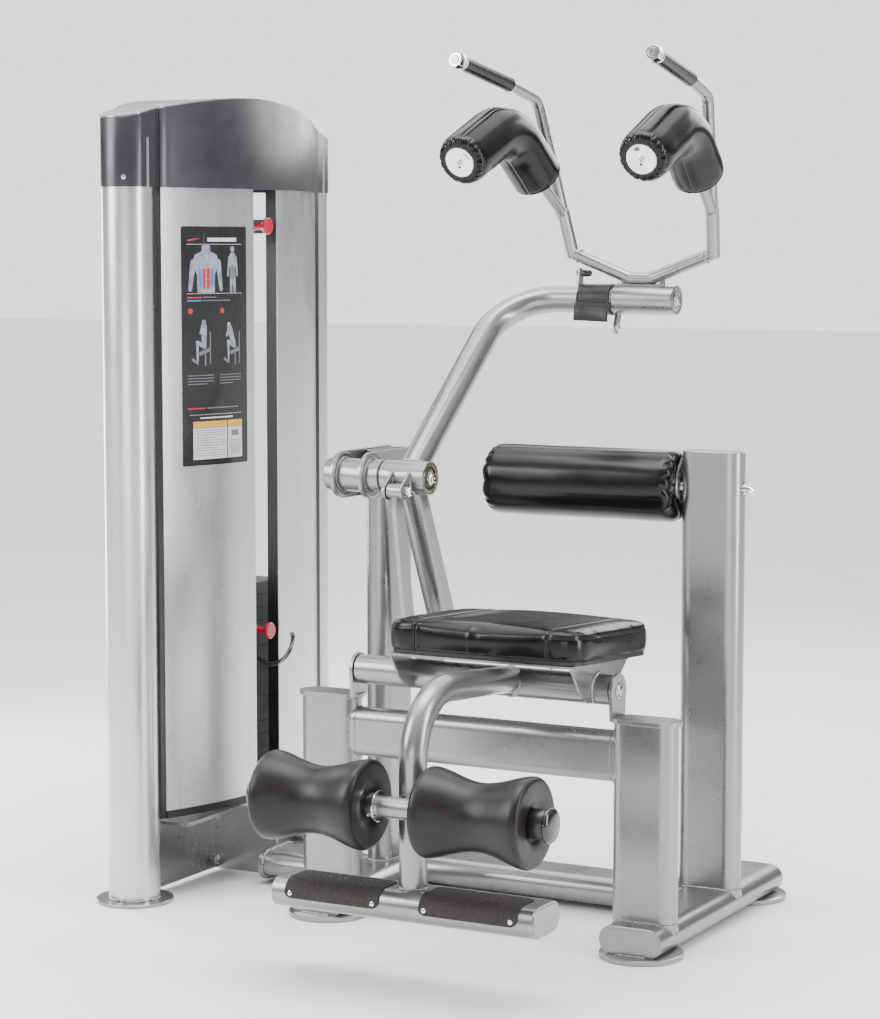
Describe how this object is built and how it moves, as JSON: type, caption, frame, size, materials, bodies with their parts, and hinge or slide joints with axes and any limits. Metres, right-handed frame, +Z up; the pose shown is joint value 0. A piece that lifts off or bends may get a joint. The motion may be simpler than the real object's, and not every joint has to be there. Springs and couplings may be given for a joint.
{
  "type": "abdominal crunch machine",
  "caption": "Seated abdominal crunch machine: swinging arm with shoulder pads and handles, pivoting seat with foot rollers, and a pin-selected weight tower.",
  "frame": {"origin": "centre of the machine's footprint box on the floor", "axes": "+X across the user from the weight tower to the tall right post, the user faces -Y, +Z up"},
  "size_m": [1.4218, 1.294, 1.878],
  "materials": {
    "frame_paint": "satin silver metallic paint",
    "panel_paint": "satin light silver paint",
    "cap_paint": "satin charcoal metallic paint",
    "vinyl": "glossy black upholstery vinyl",
    "foam": "matte dark foam skin",
    "leather": "stitched black leather",
    "grit": "coarse gritty black tread",
    "rubber": "matte black",
    "chrome": "polished",
    "steel": "machined",
    "stack_paint": "matte dark grey",
    "red_plastic": "glossy red"
  },
  "bodies": {
    "frame": {"right_base_tube": "frame_paint", "left_base_tube": "frame_paint", "rear_cross_tube": "frame_paint", "tower_link_tube": "frame_paint", "right_short_post": "frame_paint", "left_short_post": "frame_paint", "right_pivot_bracket": "frame_paint", "left_pivot_bracket": "frame_paint", "cross_beam": "frame_paint", "tall_post": "frame_paint", "arm_post": "frame_paint", "pivot_housing": "frame_paint", "pivot_axle": "steel", "back_roller_axle": "chrome", "front_column": "panel_paint", "rear_column": "panel_paint", "tower_web": "frame_paint", "front_panel": "panel_paint", "rear_panel": "panel_paint", "tower_cap": "cap_paint", "top_crosshead": "frame_paint", "front_guide_rod": "chrome", "rear_guide_rod": "chrome", "resting_plates": "stack_paint", "add_weight": "stack_paint"},
    "arm": {"arm_hub": "frame_paint", "arm_tube": "frame_paint", "arm_lever": "frame_paint", "bumper_wrap": "leather"},
    "link": {"link_bar": "frame_paint"},
    "yoke": {"yoke_hub": "frame_paint", "yoke_frame": "frame_paint", "left_shoulder_pad": "vinyl", "right_shoulder_pad": "vinyl", "left_pad_disc": "chrome", "right_pad_disc": "chrome", "left_grip": "rubber", "right_grip": "rubber", "left_grip_cap": "chrome", "right_grip_cap": "chrome"},
    "seat": {"seat_pivot_tube": "frame_paint", "seat_bracket": "frame_paint", "seat_pad": "vinyl", "leg_tube": "frame_paint", "foot_bar": "frame_paint", "left_foot_tread": "grit", "right_foot_tread": "grit", "roller_shaft": "frame_paint", "left_shaft_collar": "chrome", "right_shaft_collar": "chrome"},
    "left_roller": {"left_foot_roller": "foam"},
    "right_roller": {"right_foot_roller": "foam"},
    "back_roll": {"back_roller": "vinyl"},
    "pulley": {"top_pulley": "rubber"},
    "stack": {"lifted_plates": "stack_paint", "lift_belt": "rubber"},
    "selector": {"selector_pin": "red_plastic", "pin_tether": "rubber"},
    "add_knob": {"add_weight_knob": "red_plastic"}
  },
  "joints": [
    {"name": "arm_swing", "type": "hinge", "parent": "frame", "child": "arm", "pos_m": [-0.01187, 0.065, 0.957], "axis": [1, 0, 0], "range_deg": [0, 40]},
    {"name": "yoke_swivel", "type": "hinge", "parent": "arm", "child": "yoke", "pos_m": [0.31313, 0.58, 1.339], "axis": [1, 0, 0], "range_deg": [0, 45]},
    {"name": "link_pivot", "type": "hinge", "parent": "arm", "child": "link", "pos_m": [-0.01187, 0.011, 0.931], "axis": [1, 0, 0], "range_deg": [-46, 1]},
    {"name": "seat_swing", "type": "hinge", "parent": "frame", "child": "seat", "pos_m": [0.31313, -0.06, 0.547], "axis": [1, 0, 0], "range_deg": [-15, 1]},
    {"name": "left_roller_spin", "type": "hinge", "parent": "seat", "child": "left_roller", "pos_m": [0.13313, -0.557, 0.368], "axis": [1, 0, 0], "continuous": true},
    {"name": "right_roller_spin", "type": "hinge", "parent": "seat", "child": "right_roller", "pos_m": [0.49313, -0.557, 0.368], "axis": [1, 0, 0], "continuous": true},
    {"name": "back_roller_spin", "type": "hinge", "parent": "frame", "child": "back_roll", "pos_m": [0.31313, 0.286, 0.943], "axis": [1, 0, 0], "continuous": true},
    {"name": "pulley_spin", "type": "hinge", "parent": "frame", "child": "pulley", "pos_m": [-0.57987, 0.1915, 1.65], "axis": [1, 0, 0], "continuous": true},
    {"name": "stack_lift", "type": "slide", "parent": "frame", "child": "stack", "axis": [0, 0, 1], "range_m": [0, 0.31], "deforming": ["lift_belt"]},
    {"name": "selector_pull", "type": "slide", "parent": "stack", "child": "selector", "axis": [1, 0, 0], "range_m": [0, 0.08]},
    {"name": "add_knob_pull", "type": "slide", "parent": "frame", "child": "add_knob", "axis": [1, 0, 0], "range_m": [0, 0.012]}
  ],
  "couplings": [
    {"joint": "seat_swing", "follows": "arm_swing", "ratio": -0.36},
    {"joint": "link_pivot", "follows": "arm_swing", "ratio": -1.12},
    {"joint": "stack_lift", "follows": "arm_swing", "m_per_rad": 0.43},
    {"joint": "pulley_spin", "follows": "arm_swing", "ratio": -10.488}
  ]
}
